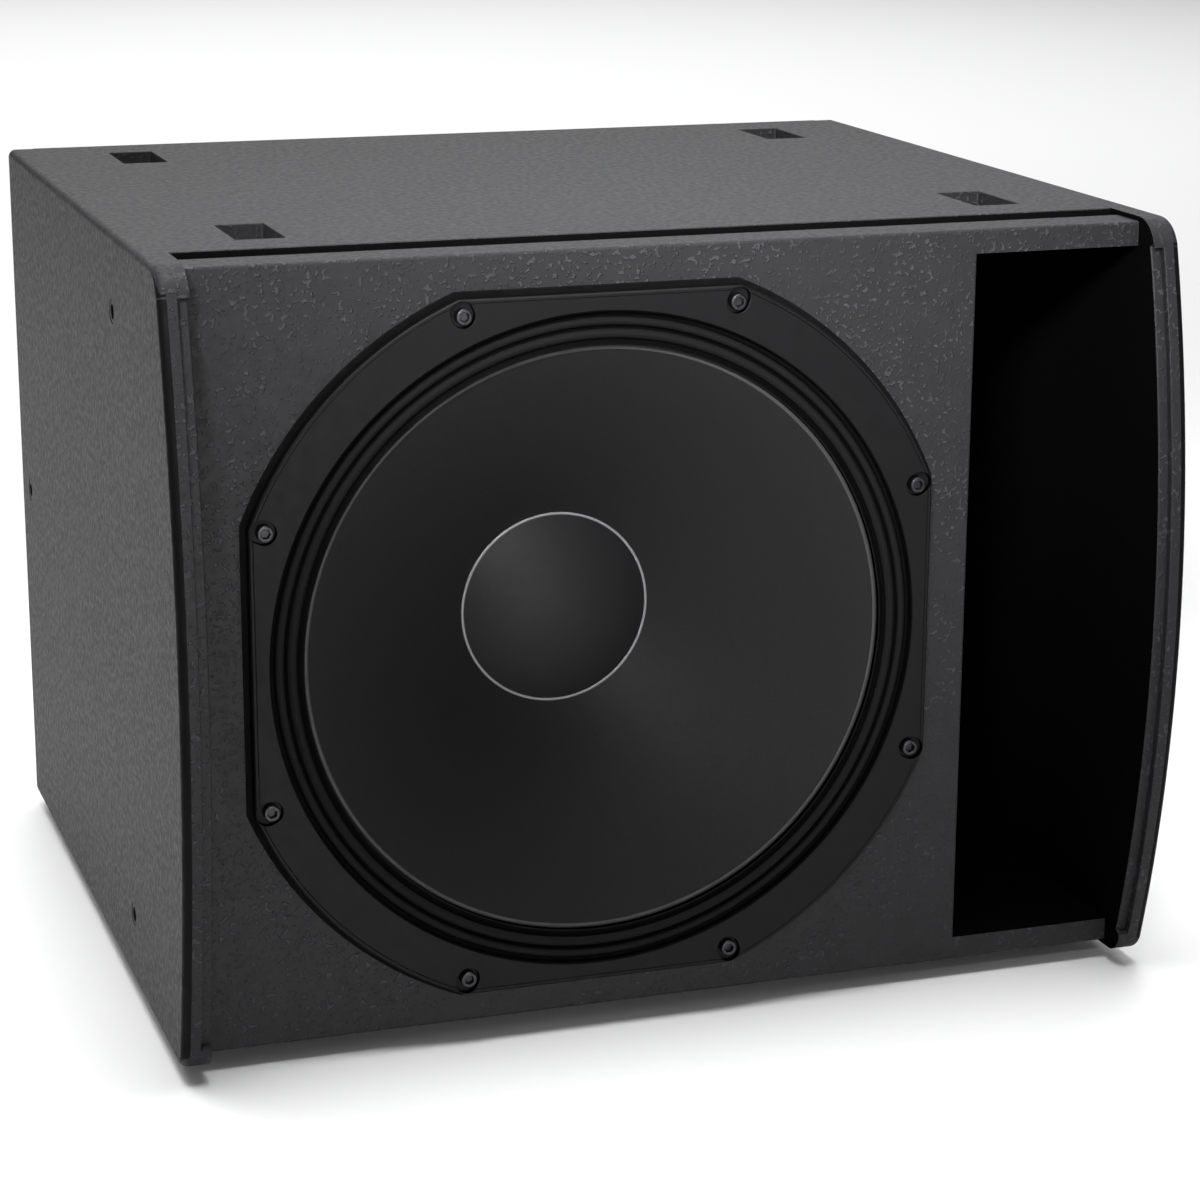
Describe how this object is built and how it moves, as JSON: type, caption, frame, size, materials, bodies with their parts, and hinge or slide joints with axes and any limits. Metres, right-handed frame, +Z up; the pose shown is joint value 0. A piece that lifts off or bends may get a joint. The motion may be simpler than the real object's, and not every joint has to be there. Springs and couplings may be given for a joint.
{
  "type": "pa speaker cabinet",
  "caption": "Black plywood bass cabinet with a large front driver, a slot port beside it, bowed side panels and pockets in the top for stacking.",
  "frame": {"origin": "middle of the footprint, on the floor under the rubber feet", "axes": "+X to the right as seen from the front, +Y towards the back, +Z up; the driver faces -Y"},
  "size_m": [0.632, 0.579, 0.487],
  "materials": {
    "cabinet_paint": "plywood under satin black textured paint",
    "bare_plywood": "bare birch plywood",
    "damping_foam": "grey damping fleece",
    "rubber": "black moulded rubber",
    "zinc_steel": "zinc plated steel",
    "cast_frame": "black coated cast aluminium",
    "black_steel": "black oxide and black coated steel",
    "cone_paper": "matt black coated paper pulp",
    "surround_cloth": "black doped cloth",
    "spider_cloth": "amber resin treated cloth",
    "former": "glass fibre coil former",
    "copper": "copper wire",
    "ferrite": "bare grey ferrite",
    "black_plastic": "black moulded plastic",
    "red_plastic": "red moulded plastic"
  },
  "bodies": {
    "cabinet": {"side_panel_left": "cabinet_paint", "side_panel_right": "cabinet_paint", "top_panel": "cabinet_paint", "bottom_panel": "cabinet_paint", "back_panel": "cabinet_paint", "front_baffle": "cabinet_paint", "port_divider": "cabinet_paint", "window_brace": "bare_plywood", "damping_pad_back": "damping_foam", "damping_pad_left": "damping_foam", "damping_pad_top": "damping_foam", "foot_front_left": "rubber", "foot_front_right": "rubber", "foot_rear_left": "rubber", "foot_rear_right": "rubber", "foot_screw_front_left": "zinc_steel", "foot_screw_front_right": "zinc_steel", "foot_screw_rear_left": "zinc_steel", "foot_screw_rear_right": "zinc_steel", "rigging_insert_left_front_upper": "zinc_steel", "rigging_insert_left_front_lower": "zinc_steel", "rigging_insert_left_rear": "zinc_steel", "rigging_insert_right_front_upper": "zinc_steel", "rigging_insert_right_front_lower": "zinc_steel", "rigging_insert_right_rear": "zinc_steel", "driver_basket": "cast_frame", "driver_gasket": "rubber", "driver_bolt_1": "black_steel", "driver_bolt_2": "black_steel", "driver_bolt_3": "black_steel", "driver_bolt_4": "black_steel", "driver_bolt_5": "black_steel", "driver_bolt_6": "black_steel", "driver_bolt_7": "black_steel", "driver_bolt_8": "black_steel", "surround": "surround_cloth", "spider": "spider_cloth", "motor_top_plate": "black_steel", "motor_magnet": "ferrite", "motor_pole_plate": "black_steel", "terminal_block": "black_plastic", "terminal_positive": "red_plastic", "terminal_negative": "black_plastic", "tinsel_lead_positive": "copper", "tinsel_lead_negative": "copper", "connector_plate": "black_steel", "plate_screw_1": "zinc_steel", "plate_screw_2": "zinc_steel", "plate_screw_3": "zinc_steel", "plate_screw_4": "zinc_steel", "speaker_socket_upper": "black_plastic", "speaker_socket_lower": "black_plastic", "internal_lead_positive": "red_plastic", "internal_lead_negative": "black_plastic"},
    "cone_assembly": {"cone": "cone_paper", "dust_cap": "cone_paper", "voice_coil_former": "former", "voice_coil_winding": "copper"}
  },
  "joints": [
    {"name": "cone_travel", "type": "slide", "parent": "cabinet", "child": "cone_assembly", "axis": [0, 1, 0], "range_m": [-0.009, 0.009], "stiffness_N_per_m": 8000, "deforming": ["surround", "spider", "tinsel_lead_positive", "tinsel_lead_negative"]}
  ]
}
